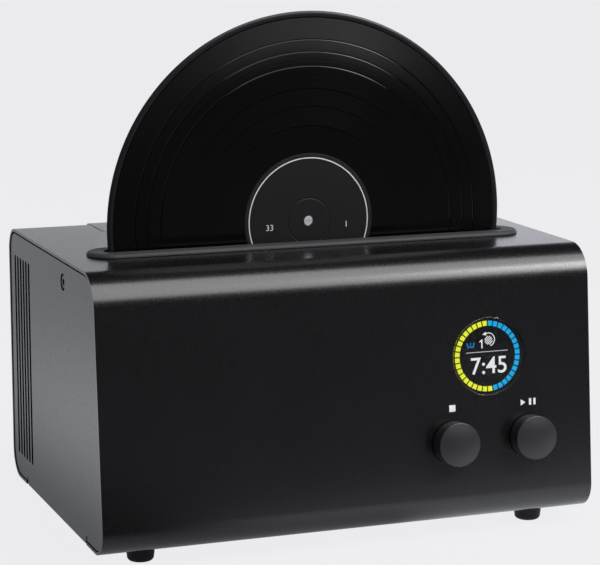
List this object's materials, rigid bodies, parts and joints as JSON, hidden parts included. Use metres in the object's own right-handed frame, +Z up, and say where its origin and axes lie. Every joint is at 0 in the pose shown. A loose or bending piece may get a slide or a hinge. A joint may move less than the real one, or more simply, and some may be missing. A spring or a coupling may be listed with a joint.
{
  "type": "record cleaning machine",
  "caption": "Bench-top washer that turns a record upright through an ultrasonic bath, with a round display, push-and-turn knobs, a lift-out water tank and drying fans.",
  "frame": {"origin": "on the surface that the feet stand on, under the middle of the whole machine's bounding box", "axes": "+X to the machine's right as its user faces it, +Y from its front to its rear, +Z up"},
  "size_m": [0.367, 0.2698, 0.3704],
  "materials": {
    "case_sheet": "fine-grained matte black anodised sheet",
    "side_sheet": "satin dark grey sheet",
    "trim": "satin dark grey",
    "rubber": "matt black",
    "plastic": "matt black",
    "knob": "matt dark grey",
    "vinyl": "glossy black, grooved",
    "label": "matt dark grey with a plain white ring",
    "display_glass": "black, polished",
    "screen": "dark panel",
    "steel": "plain bright",
    "bath": "satin stainless",
    "aluminium": "as cast",
    "board": "green circuit board",
    "tank": "smoked plastic",
    "lid": "matt grey",
    "sponge": "open foam",
    "hose": "soft clear tube"
  },
  "bodies": {
    "casing": {"outer_shell": "case_sheet", "chassis": "side_sheet", "foot_front_left": "rubber", "foot_front_right": "rubber", "foot_rear_left": "rubber", "foot_rear_right": "rubber", "slot_bezel": "trim", "wash_bath": "bath", "bath_bracket_left": "aluminium", "bath_bracket_right": "aluminium", "side_screw_left": "steel", "side_screw_right": "steel", "transducer_front_left": "aluminium", "transducer_front_right": "aluminium", "transducer_rear_left": "aluminium", "transducer_rear_right": "aluminium", "drive_belt": "rubber", "drive_motor": "steel", "motor_bracket": "steel", "display_glass": "display_glass", "display_screen": "screen", "control_frame": "plastic", "control_board": "board", "left_encoder_body": "steel", "right_encoder_body": "steel", "tank_cradle": "plastic", "pump_housing": "plastic", "pump_motor": "steel", "suction_hose": "hose", "fill_hose": "hose", "fan_frame_left": "plastic", "air_duct_left": "plastic", "fan_frame_right": "plastic", "air_duct_right": "plastic", "main_board": "board", "power_supply": "steel", "mains_inlet": "plastic", "switch_housing": "plastic"},
    "record": {"record_disc": "vinyl", "label_front": "label", "label_back": "label"},
    "drive_train": {"drive_roller": "rubber", "drive_shaft": "steel", "driven_pulley": "plastic"},
    "idler": {"idler_roller": "rubber"},
    "motor_drive_pulley": {"motor_pulley": "steel"},
    "left_push": {"left_encoder_plunger": "plastic"},
    "left_turn": {"left_knob": "knob", "left_encoder_shaft": "steel"},
    "right_push": {"right_encoder_plunger": "plastic"},
    "right_turn": {"right_knob": "knob", "right_encoder_shaft": "steel"},
    "left_fan": {"fan_rotor_left": "plastic"},
    "right_fan": {"fan_rotor_right": "plastic"},
    "impeller": {"pump_impeller": "plastic"},
    "power_rocker": {"switch_rocker": "plastic"},
    "tank": {"water_tank": "tank", "filter_sponge": "sponge"},
    "lid": {"tank_lid": "lid"},
    "lid_handle": {"tank_handle": "steel"}
  },
  "joints": [
    {"name": "record_spin", "type": "hinge", "parent": "casing", "child": "record", "pos_m": [0, -0.02604, 0.2198], "axis": [0, 1, 0], "continuous": true},
    {"name": "drive_roller_spin", "type": "hinge", "parent": "casing", "child": "drive_train", "pos_m": [0.10278, -0.02604, 0.09731], "axis": [0, 1, 0], "continuous": true},
    {"name": "idler_roller_spin", "type": "hinge", "parent": "casing", "child": "idler", "pos_m": [-0.10278, -0.02604, 0.09731], "axis": [0, 1, 0], "continuous": true},
    {"name": "motor_pulley_spin", "type": "hinge", "parent": "casing", "child": "motor_drive_pulley", "pos_m": [0.10278, -0.01254, 0.04531], "axis": [0, 1, 0], "continuous": true},
    {"name": "left_knob_press", "type": "slide", "parent": "casing", "child": "left_push", "axis": [0, 0.9963, -0.0857], "range_m": [0, 0.001], "stiffness_N_per_m": 1500, "springref_m": -0.001},
    {"name": "left_knob_turn", "type": "hinge", "parent": "left_push", "child": "left_turn", "pos_m": [0.0742, -0.12016, 0.07031], "axis": [0, -0.9963, 0.0857], "continuous": true},
    {"name": "right_knob_press", "type": "slide", "parent": "casing", "child": "right_push", "axis": [0, 0.9963, -0.0857], "range_m": [0, 0.001], "stiffness_N_per_m": 1500, "springref_m": -0.001},
    {"name": "right_knob_turn", "type": "hinge", "parent": "right_push", "child": "right_turn", "pos_m": [0.134, -0.12016, 0.07031], "axis": [0, -0.9963, 0.0857], "continuous": true},
    {"name": "left_fan_spin", "type": "hinge", "parent": "casing", "child": "left_fan", "pos_m": [-0.1806, 0.09471, 0.1648], "axis": [1, 0, 0], "continuous": true},
    {"name": "right_fan_spin", "type": "hinge", "parent": "casing", "child": "right_fan", "pos_m": [0.1806, 0.09471, 0.1648], "axis": [1, 0, 0], "continuous": true},
    {"name": "pump_spin", "type": "hinge", "parent": "casing", "child": "impeller", "pos_m": [0.008, 0.03426, 0.0412], "axis": [1, 0, 0], "continuous": true},
    {"name": "power_switch_tilt", "type": "hinge", "parent": "casing", "child": "power_rocker", "pos_m": [0.135, 0.13106, 0.1092], "axis": [1, 0, 0], "range_deg": [0, 16]},
    {"name": "tank_lift", "type": "slide", "parent": "casing", "child": "tank", "axis": [0, 0, 1], "range_m": [0, 0.19]},
    {"name": "lid_lift", "type": "slide", "parent": "tank", "child": "lid", "axis": [0, 0, 1], "range_m": [0, 0.06]},
    {"name": "handle_swing", "type": "hinge", "parent": "lid", "child": "lid_handle", "pos_m": [-0.0245, 0.11486, 0.2008], "axis": [-1, 0, 0], "range_deg": [0, 90]}
  ],
  "couplings": [
    {"joint": "drive_roller_spin", "follows": "record_spin", "ratio": -16.733},
    {"joint": "idler_roller_spin", "follows": "record_spin", "ratio": -16.733},
    {"joint": "motor_pulley_spin", "follows": "record_spin", "ratio": -28.686}
  ]
}
